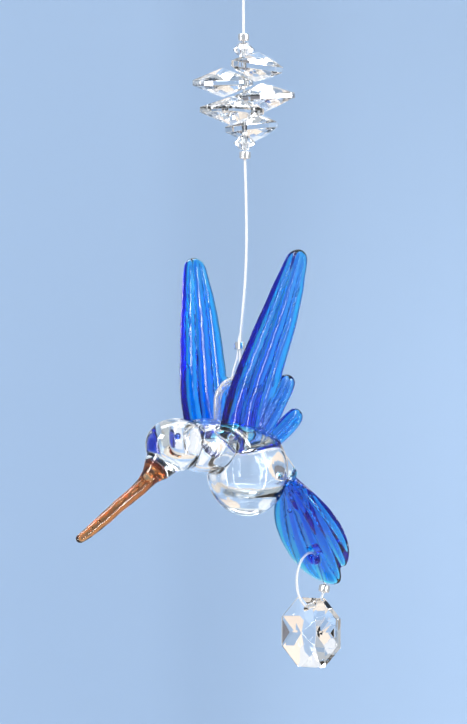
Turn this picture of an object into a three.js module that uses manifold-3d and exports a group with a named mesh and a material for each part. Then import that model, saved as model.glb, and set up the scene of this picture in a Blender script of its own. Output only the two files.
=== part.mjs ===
// A blown glass hummingbird suncatcher. A clear glass bird with blue wings and tail and an amber
// beak hangs on a nylon line below a cluster of faceted crystals. An octagon crystal hangs on a
// small loop from a hole in the bird's tail.
// Millimetres, +Z up. The origin is where a hook carries the hanging ring, inside its top.
// The bird's own frame has +X toward its beak and +Y toward its left wing.
import * as THREE from "three";
import { mergeVertices } from "three/addons/utils/BufferGeometryUtils.js";
import Module from "manifold-3d";

const wasm = await Module();
wasm.setup();

// Fits
const GAP = 0.3; // between two pieces that touch
const LINE_DIAMETER = 0.6;
const LINE_PLAY = 0.3; // between the line and the wall of a hole around it
const BEAD_BORE = LINE_DIAMETER + 2 * LINE_PLAY;

// Hanging ring
const RING_INSIDE = 7.6;
const RING_WIRE = 1.2;

// Crimps: a bead crimp holds one strand, a loop crimp holds two side by side
const CRIMP_HEIGHT = 1.7;
const BEAD_CRIMP_WALL = 0.7;
const LOOP_CRIMP_WALL = 0.35;
const STRAND_OFFSET = 0.35; // from the middle of a loop crimp to each strand
const RING_CRIMP_PLACE = [0, 0, -13.5];
const BIRD_CRIMP_PLACE = [-0.91, 0, -95.8];

// Crystal cluster, threaded from its top down
const CLUSTER_TOP = -24.7;
const CLUSTER_LEAN = 0.012; // how far the line moves along X for each millimetre down
const BICONE_DIAMETER = 5;
const BICONE_HEIGHT = 3.3;
const BICONE_END = 1.8;
const BICONE_FACETS = 8;
// A disc's plan is a square with cut corners: across its flats, and across its cut corners
const DISC = { flats: 11.8, cuts: 14.4, girdle: 1.2, half: 3.4, star: 0.55 };
const DISC_HOLE_OFFSET = 4.8; // from the middle of a disc to its hole
const DISC_PITCH = 3.32; // from one disc to the next along the line
// More room between a bicone and the rising face of a disc, above and below the discs
const TOP_SLOPE_ROOM = 0.7;
const BOTTOM_SLOPE_ROOM = 0.35;
// Where each disc swings to about the line, how it leans, and how it is turned, in degrees
const DISCS = [
  { heading: -52, lean: 8, nod: 3, turn: 0 },
  { heading: 180, lean: -1, nod: 5, turn: 18 },
  { heading: 26, lean: -4, nod: 1, turn: 30 },
  { heading: -126, lean: 2, nod: -1, turn: 36 },
  { heading: 69, lean: -6, nod: 2, turn: -3 },
];

// The bird as a whole
const BIRD_PLACE = [1.48, 2.24, -126];
const BIRD_YAW = 35; // degrees from facing -X toward facing -Y

// Clear body, as rounded masses that melt together: middle, radii, and nose-up tilt in degrees
const HEAD = { middle: [20.6, 0, 7.75], radii: [7.2, 6, 6.1], tilt: 0 };
const NECK = { middle: [12.2, 0, 7.4], radii: [8, 6.5, 6.35], tilt: 0 };
const BELLY = { middle: [0.7, 0, 1.7], radii: [9.6, 8.9, 10.5], tilt: 0 };
const SHOULDER = { middle: [4.5, 5.6, 8.6], radii: [9.2, 2.5, 3.4], tilt: 18.6 };
const MUZZLE_RADII = [5.4, 3.25];
const TAIL_STUB = { from: [-3.5, 0, 4.6], to: [-11.4, 0, -0.2], radii: [5, 2.3] };

// Beak: its middle line from the face to the tip, and its radius at shares of its length
const BEAK_LINE = [
  [25.9, 0, 2.3],
  [30.3, 0, -1.9],
  [35.4, 0, -5.4],
  [41.2, 0, -9.6],
  [44.6, 0, -11.9],
  [47.1, 0, -13.3],
];
const BEAK_RADII = [
  [0, 3.2],
  [0.04, 2.6],
  [0.09, 2.1],
  [0.17, 1.75],
  [0.3, 1.55],
  [0.6, 1.45],
  [0.8, 1.3],
  [0.9, 1.15],
];
const BEAK_TIP_RADIUS = 0.95;
const BEAK_TIP_ANGLES = [0, 30, 55, 75];

// Feathers of a wing, from the wing's root: middle line, half widths from root to tip,
// half thicknesses at root and tip, and the number of flutes. A row of faces is ROW_PITCH long.
const LONG_FEATHER = {
  line: [
    [0, 0, 0],
    [-0.3, 2.7, 8.4],
    [-2.1, 5.8, 18.2],
    [-4, 8.9, 27.7],
    [-6.2, 13.5, 42.2],
  ],
  halfWidths: [6.8, 6.8, 6.3, 5.6, 4.4, 2.6],
  halfThicknesses: [1.7, 1.05],
  flutes: 3,
};
const MIDDLE_FEATHER = {
  line: [
    [-4.2, 0.2, 0.3],
    [-7.2, 2.3, 6.6],
    [-10.1, 4.45, 13.9],
  ],
  halfWidths: [3, 2.9, 2.5],
  halfThicknesses: [1.5, 1.2],
  flutes: 2,
};
const SHORT_FEATHER = {
  line: [
    [-7.3, -0.4, -1.8],
    [-11.4, 0.8, 2],
    [-14.8, 1.8, 5.7],
  ],
  halfWidths: [2.6, 2.7, 2.3],
  halfThicknesses: [1.4, 1.15],
  flutes: 2,
};
const LEFT_WING = { root: [5.9, 5.5, 9.6], side: 1, sweep: 1, rise: 1 };
const RIGHT_WING = { root: [6.4, 6.4, 9.6], side: -1, sweep: 0.71, rise: 0.97 };
const FLUTE_DEPTH = 0.42; // share of the thickness that is lost in a groove
const FLUTE_FACETS = 4;
const ROW_PITCH = 3.5;
const TIP_ROUNDING = 0.97; // how much of a half circle a feather's tip is

// Tail fan, in a frame of its own that stands at its root and is turned to its left.
// The end of the fan is an outline from its right edge to its left edge, across in millimetres
// and along as a share of the way to its tip.
const TAIL_ROOT = [-11.2, 0, -0.8];
const TAIL_TURN = 16;
const TAIL_TIP = [-10.7, 3, -23.2];
const TAIL_ROOT_HALF_WIDTH = 2;
const TAIL_BULGE = 2.1;
const TAIL_END = [
  [-9.6, 0.57],
  [-8.2, 0.81],
  [-5, 0.955],
  [-0.4, 1.04],
  [3.2, 1.015],
  [4.9, 0.877],
  [7.1, 0.835],
  [9.4, 0.7],
  [10.1, 0.523],
];
const TAIL_FLUTES = 6;
const TAIL_HALF_THICKNESSES = [1.9, 1.2];
const TAIL_HOLE = { along: 0.735, across: -0.9, diameter: 2.1 };

// Back loop: a glass cane bent to an arch over the bird's back
const CANE_DIAMETER = 1.7;
const ARCH_MIDDLE = 3.9;
const ARCH_HALF_WIDTH = 5.2;
const ARCH_TOP = 22.3;
const ARCH_FOOT = 10.4;
const ARCH_STEPS = 16;

// Drop: a loop of line through the tail's hole, its crimp, and the octagon crystal
const DROP_LOOP = { halfWidth: 5.3, halfHeight: 6.35 };
const DROP_LOOP_BACK = 1.6; // how far the tail's hole lies behind the top of the loop
const DROP_CRIMP_BELOW = 20; // degrees below the loop's rearmost point
const DROP = { flats: 16, cuts: 16, girdle: 1.8, half: 3.6, star: 0.55 };
const DROP_BORE_OFFSET = 5.7;
const DROP_BORE = 1.5;

// The hanging line, from its cut end under the ring down to the glass loop and back up
const LINE_ROUTE = [
  [0, 0.35, -15.2],
  [0, 0.35, -13.5],
  [0, 0.55, -11.6],
  [0, 1.15, -9.4],
  [0, 1.12, -7.9],
  [0, 0, -6.95],
  [0, -1.12, -7.9],
  [0, -1.15, -9.4],
  [0, -0.55, -11.6],
  [0, -0.35, -13.5],
  [0, -0.2, -16],
  [0, 0, -20],
  [0.02, 0, -26],
  [0.1, 0, -33],
  [0.19, 0, -40],
  [0.27, 0, -47],
  [0.35, 0, -53.5],
  [0.6, 0, -63],
  [0.68, 0, -72.9],
  [0.34, 0, -81.8],
  [-0.3, -0.05, -89.5],
  [-0.6, -0.2, -93],
  [-0.71, -0.29, -95.8],
  [-0.72, -0.6, -98.6],
  [-0.8, -1.05, -101.8],
  [-0.92, -1.1, -103.9],
  [-1.71, 0, -105.05],
  [-2.5, 1.1, -103.9],
  [-2.3, 1.05, -101.8],
  [-1.4, 0.6, -98.6],
  [-1.11, 0.29, -95.8],
  [-0.95, 0.32, -94.2],
  [-0.7, 0.5, -93.2],
];
const LINE_STEPS = 76;
const DROP_LOOP_STEPS = 26;
const ROUND_SIDES = 12;
const CORD_SIDES = 8;
const MASS_SEGMENTS = 16;
const MASS_RINGS = 10;
const RING_STEPS = 20;

const DEGREE = Math.PI / 180;
const vector = (p) => new THREE.Vector3(...p);

// A closed geometry as a solid for booleans.
function solidOf(geometry) {
  const bare = geometry.index ? geometry.toNonIndexed() : geometry.clone();
  bare.deleteAttribute("normal");
  bare.deleteAttribute("uv");
  const merged = mergeVertices(bare, 1e-4);
  return new wasm.Manifold(
    new wasm.Mesh({
      numProp: 3,
      vertProperties: merged.attributes.position.array,
      triVerts: new Uint32Array(merged.index.array),
    }),
  );
}

function geometryOf(solid) {
  const made = solid.getMesh();
  return meshGeometry(Array.from(made.vertProperties), Array.from(made.triVerts));
}

function meshGeometry(positions, index) {
  const geometry = new THREE.BufferGeometry();
  geometry.setAttribute("position", new THREE.Float32BufferAttribute(positions, 3));
  geometry.setIndex(index);
  return geometry;
}

// A value between the entries of an evenly spaced list, at a share of its length.
function blend(values, share) {
  const at = share * (values.length - 1);
  const low = Math.min(Math.floor(at), values.length - 2);
  return THREE.MathUtils.lerp(values[low], values[low + 1], at - low);
}

// An upright round rod of a given diameter, standing on Z.
function rod(diameter, length, sides = ROUND_SIDES) {
  return new THREE.CylinderGeometry(diameter / 2, diameter / 2, length, sides).rotateX(Math.PI / 2);
}

// A round rod of changing radius along a curve, with flat ends. Rings is a list of
// [share of the curve, radius].
function taper(curve, rings, sides = ROUND_SIDES) {
  const shares = rings.map(([share]) => share);
  const across = new THREE.Vector3(0, 1, 0);
  const positions = [];
  const index = [];
  shares.forEach((share, ring) => {
    const middle = curve.getPointAt(share);
    const up = new THREE.Vector3().crossVectors(curve.getTangentAt(share), across).normalize();
    for (let side = 0; side < sides; side += 1) {
      const angle = (2 * Math.PI * side) / sides;
      const p = middle
        .clone()
        .addScaledVector(across, rings[ring][1] * Math.cos(angle))
        .addScaledVector(up, rings[ring][1] * Math.sin(angle));
      positions.push(p.x, p.y, p.z);
    }
  });
  const last = (rings.length - 1) * sides;
  for (let side = 0; side < sides; side += 1) {
    const next = (side + 1) % sides;
    for (let ring = 0; ring < last; ring += sides) {
      index.push(ring + side, ring + next, ring + sides + side);
      index.push(ring + next, ring + sides + next, ring + sides + side);
    }
  }
  for (let side = 1; side < sides - 1; side += 1) {
    index.push(0, side + 1, side);
    index.push(last, last + side, last + side + 1);
  }
  return meshGeometry(positions, index);
}

// A glass leaf: two faces over one outline that meet in a thin edge, closed flat at its root.
// The leaf runs across from u = -1 to 1 and along from t = 0 to 1, and middleAt(u, t) gives its
// middle surface. Flutes are rounded ribs side by side, with a groove between each two.
function leaf({ middleAt, normalAt, halfThicknessAt, flutes, rows, facets = FLUTE_FACETS }) {
  const columns = flutes * facets;
  const positions = [];
  const ids = [[], []];
  for (let column = 0; column <= columns; column += 1) {
    const flute = Math.min(Math.floor(column / facets), flutes - 1);
    const within = Math.sin(((2 * (column - flute * facets)) / facets - 1) * (Math.PI / 2));
    const u = -1 + (2 * (flute + (1 + within) / 2)) / flutes;
    const rib = 1 - FLUTE_DEPTH * (1 - Math.sqrt(Math.max(0, 1 - within * within)));
    for (let row = 0; row <= rows; row += 1) {
      const t = Math.sin((row / rows) * (Math.PI / 2));
      const middle = middleAt(u, t);
      const out = normalAt(t);
      const edge = column === 0 || column === columns || row === rows;
      const half = edge ? 0 : rib * Math.sqrt(1 - u * u) * halfThicknessAt(t);
      for (const face of edge ? [0] : [0, 1]) {
        const p = middle.clone().addScaledVector(out, face === 0 ? half : -half);
        ids[face].push(positions.length / 3);
        positions.push(p.x, p.y, p.z);
      }
      if (edge) ids[1].push(ids[0].at(-1));
    }
  }
  const index = [];
  const triangle = (a, b, c) => {
    if (a !== b && b !== c && a !== c) index.push(a, b, c);
  };
  for (let column = 0; column < columns; column += 1) {
    const here = column * (rows + 1);
    const next = here + rows + 1;
    for (let row = 0; row < rows; row += 1) {
      const quad = [here + row, next + row, next + row + 1, here + row + 1];
      const turned = column < columns / 2 ? [1, 2, 3, 0] : [0, 1, 2, 3];
      const [a, b, c, d] = turned.map((k) => quad[k]);
      triangle(ids[0][a], ids[0][b], ids[0][c]);
      triangle(ids[0][a], ids[0][c], ids[0][d]);
      triangle(ids[1][a], ids[1][c], ids[1][b]);
      triangle(ids[1][a], ids[1][d], ids[1][c]);
    }
    triangle(ids[0][here], ids[1][here], ids[1][next]);
    triangle(ids[0][here], ids[1][next], ids[0][next]);
  }
  return meshGeometry(positions, index);
}

// An eight-sided crystal about Z, with four sides across its flats and four across its cut
// corners. On each face eight kites meet in a point, and a triangle slopes down to each side.
function octagonCrystal({ flats, cuts, girdle, half, star }) {
  const near = flats / 2;
  const far = Math.SQRT2 * (cuts / 2) - near; // the shorter coordinate of a corner
  const skew = Math.tan(Math.PI / 8);
  const slope = (half - girdle / 2) / (near + skew * far);
  const quarter = (k, x, y) => [
    [x, y],
    [-y, x],
    [-x, -y],
    [y, -x],
  ][k];
  const corners = [];
  const stars = [];
  for (let k = 0; k < 4; k += 1) {
    corners.push(quarter(k, near, far), quarter(k, far, near));
    const diagonal = (star * cuts) / 2 / Math.SQRT2;
    stars.push([...quarter(k, star * near, 0), half - slope * star * near]);
    stars.push([...quarter(k, diagonal, diagonal), half - slope * (1 + skew) * diagonal]);
  }
  const positions = [0, 0, half, 0, 0, -half];
  const ring = (points, height) => {
    const first = positions.length / 3;
    points.forEach(([x, y, z]) => positions.push(x, y, height(z)));
    return (k) => first + ((k + 8) % 8);
  };
  const star0 = ring(stars, (z) => z);
  const corner0 = ring(corners, () => girdle / 2);
  const corner1 = ring(corners, () => -girdle / 2);
  const star1 = ring(stars, (z) => -z);
  const index = [];
  for (let k = 0; k < 8; k += 1) {
    index.push(0, star0(k), corner0(k), 0, corner0(k), star0(k + 1));
    index.push(corner0(k - 1), corner0(k), star0(k));
    index.push(corner0(k - 1), corner1(k - 1), corner1(k), corner0(k - 1), corner1(k), corner0(k));
    index.push(corner1(k), corner1(k - 1), star1(k));
    index.push(1, corner1(k), star1(k), 1, star1(k + 1), corner1(k));
  }
  return meshGeometry(positions, index);
}

function bicone() {
  const profile = [
    new THREE.Vector2(0, -BICONE_HEIGHT / 2),
    new THREE.Vector2(BICONE_END / 2, -BICONE_HEIGHT / 2),
    new THREE.Vector2(BICONE_DIAMETER / 2, 0),
    new THREE.Vector2(BICONE_END / 2, BICONE_HEIGHT / 2),
    new THREE.Vector2(0, BICONE_HEIGHT / 2),
  ];
  const turned = solidOf(new THREE.LatheGeometry(profile, BICONE_FACETS).rotateX(Math.PI / 2));
  return geometryOf(turned.subtract(solidOf(rod(BEAD_BORE, 2 * BICONE_HEIGHT, CORD_SIDES))));
}

function beadCrimp() {
  const outside = rod(BEAD_BORE + 2 * BEAD_CRIMP_WALL, CRIMP_HEIGHT);
  const bore = rod(BEAD_BORE, 2 * CRIMP_HEIGHT);
  return geometryOf(solidOf(outside).subtract(solidOf(bore)));
}

// A squeezed crimp around two strands that lie side by side along X.
function loopCrimp() {
  const slot = { x: STRAND_OFFSET, radius: BEAD_BORE / 2 };
  const outline = (wall) => {
    const shape = new THREE.Shape();
    shape.absarc(slot.x, 0, slot.radius + wall, -Math.PI / 2, Math.PI / 2, false);
    shape.absarc(-slot.x, 0, slot.radius + wall, Math.PI / 2, 1.5 * Math.PI, false);
    return shape;
  };
  const prism = (wall, height) =>
    new THREE.ExtrudeGeometry(outline(wall), {
      depth: height,
      bevelEnabled: false,
      curveSegments: 6,
    }).translate(0, 0, -height / 2);
  const outside = solidOf(prism(LOOP_CRIMP_WALL, CRIMP_HEIGHT));
  return geometryOf(outside.subtract(solidOf(prism(0, 2 * CRIMP_HEIGHT))));
}

function cord(curve, steps) {
  const section = new THREE.Shape().absarc(0, 0, LINE_DIAMETER / 2, 0, 2 * Math.PI, false);
  return new THREE.ExtrudeGeometry(section, {
    steps,
    extrudePath: curve,
    bevelEnabled: false,
    curveSegments: CORD_SIDES / 2,
  });
}

// A rounded mass of the body, grown by a margin.
function mass({ middle, radii, tilt }, margin, side = 1) {
  const grown = radii.map((radius) => radius + margin);
  return new THREE.SphereGeometry(1, MASS_SEGMENTS, MASS_RINGS)
    .rotateX(Math.PI / 2)
    .scale(...grown)
    .rotateY(-tilt * DEGREE)
    .translate(middle[0], side * middle[1], middle[2]);
}

// The bird's clear body, grown by a margin where other glass is cut to sit on it.
function bodySolid(margin) {
  const beakStart = vector(BEAK_LINE[0]);
  const beakWay = vector(BEAK_LINE[1]).sub(beakStart).normalize();
  const head = vector(HEAD.middle);
  const muzzle = new THREE.LineCurve3(head, beakStart.addScaledVector(beakWay, margin - GAP / 2));
  const stub = new THREE.LineCurve3(vector(TAIL_STUB.from), vector(TAIL_STUB.to));
  const grown = (radii) => radii.map((radius, end) => [end, radius + margin]);
  return [
    mass(HEAD, margin),
    mass(NECK, margin),
    mass(SHOULDER, margin, 1),
    mass(SHOULDER, margin, -1),
    taper(muzzle, grown(MUZZLE_RADII)),
    taper(stub, grown(TAIL_STUB.radii)),
  ]
    .map(solidOf)
    .reduce((whole, part) => whole.add(part), solidOf(mass(BELLY, margin)));
}

function beak(body) {
  const curve = new THREE.CatmullRomCurve3(BEAK_LINE.map(vector));
  const length = curve.getLength();
  const rings = [...BEAK_RADII];
  for (const angle of BEAK_TIP_ANGLES) {
    const back = (BEAK_TIP_RADIUS / length) * (1 - Math.sin(angle * DEGREE));
    rings.push([1 - back, BEAK_TIP_RADIUS * Math.cos(angle * DEGREE)]);
  }
  return geometryOf(solidOf(taper(curve, rings)).subtract(body));
}

// One feather of a wing, at its place in the bird's frame.
function feather({ line, halfWidths, halfThicknesses, flutes }, wing) {
  const [x, y, z] = wing.root;
  const points = line.map(
    ([f, l, up]) =>
      new THREE.Vector3(x + f * wing.sweep, wing.side * (y + l * wing.rise), z + up * wing.rise),
  );
  const curve = new THREE.CatmullRomCurve3(points);
  const length = curve.getLength();
  const chord = new THREE.Vector3(-1, 0, 0);
  const acrossAt = (t) => {
    const along = curve.getTangentAt(t);
    return chord.clone().addScaledVector(along, -chord.dot(along)).normalize();
  };
  const tipRadius = halfWidths.at(-1);
  const roundFrom = 1 - tipRadius / length;
  return leaf({
    flutes,
    rows: Math.round(length / ROW_PITCH),
    middleAt: (u, t) => {
      const short = (tipRadius / length) * (1 - Math.sqrt(1 - (TIP_ROUNDING * u) ** 2));
      const at = t * (1 - short);
      return curve.getPointAt(at).addScaledVector(acrossAt(at), blend(halfWidths, at) * u);
    },
    normalAt: (t) => new THREE.Vector3().crossVectors(acrossAt(t), curve.getTangentAt(t)),
    halfThicknessAt: (t) => {
      const end = Math.max(0, (t - roundFrom) / (1 - roundFrom));
      return blend(halfThicknesses, t) * Math.sqrt(1 - end * end);
    },
  });
}

function wingGeometry(wing, body) {
  const feathers = [LONG_FEATHER, MIDDLE_FEATHER, SHORT_FEATHER];
  const whole = feathers.map((f) => solidOf(feather(f, wing))).reduce((sum, part) => sum.add(part));
  return geometryOf(whole.subtract(body));
}

// The middle of the tail's hole and of the drop's loop, in the tail's frame.
const holePlace = vector(TAIL_TIP)
  .multiplyScalar(TAIL_HOLE.along)
  .add(new THREE.Vector3(0, TAIL_HOLE.across, 0));
const holeAngle = -Math.acos(DROP_LOOP_BACK / DROP_LOOP.halfWidth);
const dropMiddle = holePlace.clone().sub(onOval(holeAngle));

// A point of the drop's loop about its middle. The angle starts at the rearmost point and
// grows downward.
function onOval(angle) {
  const { halfWidth, halfHeight } = DROP_LOOP;
  return new THREE.Vector3(-halfWidth * Math.cos(angle), 0, -halfHeight * Math.sin(angle));
}

// The turn about Y that lays the Z axis along the loop at an angle.
function ovalTurn(angle) {
  const { halfWidth, halfHeight } = DROP_LOOP;
  return Math.atan2(-halfWidth * Math.sin(angle), halfHeight * Math.cos(angle));
}

function tailGeometry(bodyInTail) {
  const way = vector(TAIL_TIP);
  const length = way.length();
  way.normalize();
  const across = new THREE.Vector3(0, 1, 0);
  across.addScaledVector(way, -across.dot(way)).normalize();
  const normal = new THREE.Vector3().crossVectors(across, way);
  const end = new THREE.SplineCurve(TAIL_END.map(([c, s]) => new THREE.Vector2(c, s)));
  const left = new THREE.Vector3(0, 1, 0);
  const fan = leaf({
    flutes: TAIL_FLUTES,
    rows: Math.round(length / ROW_PITCH) + 2,
    middleAt: (u, t) => {
      const far = end.getPoint((u + 1) / 2);
      const c = THREE.MathUtils.lerp(TAIL_ROOT_HALF_WIDTH * u, far.x, t);
      const bulge = TAIL_BULGE * 4 * t * (1 - t) * u;
      return way
        .clone()
        .multiplyScalar(far.y * t * length)
        .addScaledVector(left, c + bulge);
    },
    normalAt: () => normal,
    halfThicknessAt: (t) => blend(TAIL_HALF_THICKNESSES, t) * Math.sqrt(1 - t ** 6),
  });
  const hole = rod(TAIL_HOLE.diameter, 8 * TAIL_HALF_THICKNESSES[0])
    .rotateY(ovalTurn(holeAngle))
    .translate(...holePlace.toArray());
  return geometryOf(solidOf(fan).subtract(solidOf(hole)).subtract(bodyInTail));
}

function backLoop(body) {
  const curve = new THREE.CurvePath();
  const springing = ARCH_TOP - ARCH_HALF_WIDTH;
  const side = (s) => ARCH_MIDDLE + s * ARCH_HALF_WIDTH;
  const points = [new THREE.Vector3(side(1), 0, ARCH_FOOT)];
  for (let k = 0; k <= ARCH_STEPS; k += 1) {
    const angle = (Math.PI * k) / ARCH_STEPS;
    const x = ARCH_MIDDLE + ARCH_HALF_WIDTH * Math.cos(angle);
    points.push(new THREE.Vector3(x, 0, springing + ARCH_HALF_WIDTH * Math.sin(angle)));
  }
  points.push(new THREE.Vector3(side(-1), 0, ARCH_FOOT));
  points.slice(1).forEach((p, k) => curve.add(new THREE.LineCurve3(points[k], p)));
  const rings = [];
  for (let k = 0; k <= ARCH_STEPS; k += 1) rings.push([k / ARCH_STEPS, CANE_DIAMETER / 2]);
  return geometryOf(solidOf(taper(curve, rings)).subtract(body));
}

// Materials
function finish(color, roughness, metalness = 0) {
  return new THREE.MeshStandardMaterial({ color, roughness, metalness });
}
const clearGlass = () => finish(0xe4edf2, 0.03);
const blueGlass = () => finish(0x1258d8, 0.05);
const amberGlass = () => finish(0x9a6428, 0.15);
const crystal = () => finish(0xf2f4f6, 0.02);
const nylon = () => finish(0xe9ebee, 0.3);
const silver = () => finish(0xc9ccd0, 0.2, 1);

const suncatcher = new THREE.Group();

function add(parent, name, geometry, material) {
  const mesh = new THREE.Mesh(geometry, material);
  mesh.name = name;
  parent.add(mesh);
  return mesh;
}

// Ring, line and loop crimps
const ringRadius = (RING_INSIDE + RING_WIRE) / 2;
const ring = new THREE.TorusGeometry(ringRadius, RING_WIRE / 2, CORD_SIDES, RING_STEPS);
add(suncatcher, "hanging_ring", ring.rotateX(Math.PI / 2), silver()).position.z = -RING_INSIDE / 2;
const lineCurve = new THREE.CatmullRomCurve3(LINE_ROUTE.map(vector));
add(suncatcher, "suspension_line", cord(lineCurve, LINE_STEPS), nylon());
const ringCrimp = add(suncatcher, "ring_crimp", loopCrimp(), silver());
ringCrimp.position.set(...RING_CRIMP_PLACE);
ringCrimp.rotation.z = Math.PI / 2;
const birdCrimp = add(suncatcher, "bird_crimp", loopCrimp(), silver());
birdCrimp.position.set(...BIRD_CRIMP_PLACE);
birdCrimp.rotation.z = Math.PI / 2 + BIRD_YAW * DEGREE;

// Cluster, from the top down
let level = CLUSTER_TOP;
function thread(name, geometry, material, height) {
  const mesh = add(suncatcher, name, geometry, material);
  mesh.position.set(CLUSTER_LEAN * (CLUSTER_TOP - level), 0, level - height / 2);
  level -= height + GAP;
  return mesh;
}
function discGeometry({ heading, lean, nod, turn }) {
  const cut = octagonCrystal(DISC)
    .rotateZ(turn * DEGREE)
    .rotateX(nod * DEGREE)
    .rotateY(lean * DEGREE)
    .translate(
      DISC_HOLE_OFFSET * Math.cos(heading * DEGREE),
      DISC_HOLE_OFFSET * Math.sin(heading * DEGREE),
      0,
    );
  const bore = rod(BEAD_BORE, 3 * DISC.half, CORD_SIDES);
  return geometryOf(solidOf(cut).subtract(solidOf(bore)));
}
thread("cluster_top_crimp", beadCrimp(), silver(), CRIMP_HEIGHT);
thread("cluster_top_bicone", bicone(), crystal(), BICONE_HEIGHT);
level -= TOP_SLOPE_ROOM;
DISCS.forEach((disc, k) => {
  const name = `cluster_crystal_${k + 1}`;
  thread(name, discGeometry(disc), crystal(), DISC_PITCH - GAP);
});
level -= BOTTOM_SLOPE_ROOM;
thread("cluster_bottom_bicone", bicone(), crystal(), BICONE_HEIGHT);
thread("cluster_bottom_crimp", beadCrimp(), silver(), CRIMP_HEIGHT);

// Bird
const bird = new THREE.Group();
bird.position.set(...BIRD_PLACE);
bird.rotation.z = Math.PI + BIRD_YAW * DEGREE;
suncatcher.add(bird);
const seat = bodySolid(GAP);
add(bird, "glass_body", geometryOf(bodySolid(0)), clearGlass());
add(bird, "beak", beak(seat), amberGlass());
add(bird, "left_wing", wingGeometry(LEFT_WING, seat), blueGlass());
add(bird, "right_wing", wingGeometry(RIGHT_WING, seat), blueGlass());
add(bird, "back_loop", backLoop(seat), clearGlass());

// Tail and drop, in the tail's frame
const tail = new THREE.Group();
tail.position.set(...TAIL_ROOT);
tail.rotation.z = TAIL_TURN * DEGREE;
bird.add(tail);
tail.updateMatrix();
const toTail = tail.matrix.clone().invert();
const seatInTail = solidOf(geometryOf(seat).applyMatrix4(toTail));
add(tail, "tail", tailGeometry(seatInTail), blueGlass());

const crimpAngle = DROP_CRIMP_BELOW * DEGREE;
class LoopCurve extends THREE.Curve {
  getPoint(share, target = new THREE.Vector3()) {
    const open = GAP / 2 / DROP_LOOP.halfHeight;
    return target.addVectors(dropMiddle, onOval(crimpAngle + open + share * 2 * (Math.PI - open)));
  }
}
add(tail, "drop_loop", cord(new LoopCurve(), DROP_LOOP_STEPS), nylon());
const dropCrimp = add(tail, "drop_crimp", beadCrimp(), silver());
dropCrimp.position.addVectors(dropMiddle, onOval(crimpAngle));
dropCrimp.rotation.y = ovalTurn(crimpAngle);
const dropBore = rod(DROP_BORE, 3 * DROP.half).translate(DROP_BORE_OFFSET, 0, 0);
const dropCut = octagonCrystal(DROP);
const dropSolid = solidOf(dropCut).subtract(solidOf(dropBore));
const drop = add(tail, "drop_crystal", geometryOf(dropSolid), crystal());
drop.rotation.y = -Math.PI / 2;
drop.position
  .copy(dropMiddle)
  .add(new THREE.Vector3(0, 0, -DROP_LOOP.halfHeight - DROP_BORE_OFFSET));

export default suncatcher;
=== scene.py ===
"""The looks of a blown glass hummingbird suncatcher.

Shapes are built in millimetres, in the frame that each one belongs to, and are brought into
the part's frame in metres by placed(). The bird's own frame has +X toward its beak and +Y
toward its left wing. The tail's own frame has its origin at the tail's root and is turned
sideways from the bird's.
"""

import math

import bmesh
import bpy
import numpy as np
from mathutils import Matrix, Vector
from mathutils import noise


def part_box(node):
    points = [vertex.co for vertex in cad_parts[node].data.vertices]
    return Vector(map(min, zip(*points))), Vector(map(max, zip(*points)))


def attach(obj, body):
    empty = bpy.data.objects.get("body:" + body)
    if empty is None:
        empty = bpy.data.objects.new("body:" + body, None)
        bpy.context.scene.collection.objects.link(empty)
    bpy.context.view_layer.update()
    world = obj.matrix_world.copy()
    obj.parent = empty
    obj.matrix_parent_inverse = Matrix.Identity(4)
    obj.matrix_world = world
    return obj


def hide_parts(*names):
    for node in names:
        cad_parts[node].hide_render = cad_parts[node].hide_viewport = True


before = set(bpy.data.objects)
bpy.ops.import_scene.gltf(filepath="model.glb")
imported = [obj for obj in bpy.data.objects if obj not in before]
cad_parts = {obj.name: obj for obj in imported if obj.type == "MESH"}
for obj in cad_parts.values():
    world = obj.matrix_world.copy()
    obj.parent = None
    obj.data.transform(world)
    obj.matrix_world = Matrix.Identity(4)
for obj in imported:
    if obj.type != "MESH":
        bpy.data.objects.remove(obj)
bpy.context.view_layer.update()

MM = 0.001
ORIGIN = Matrix.Identity(4)

# Camera: level, a metre in front of the line, with the photograph's framing
CAMERA_PLACE = (-0.00228, -1.0, -0.09954)
CAMERA_LENS = 218.1

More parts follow.
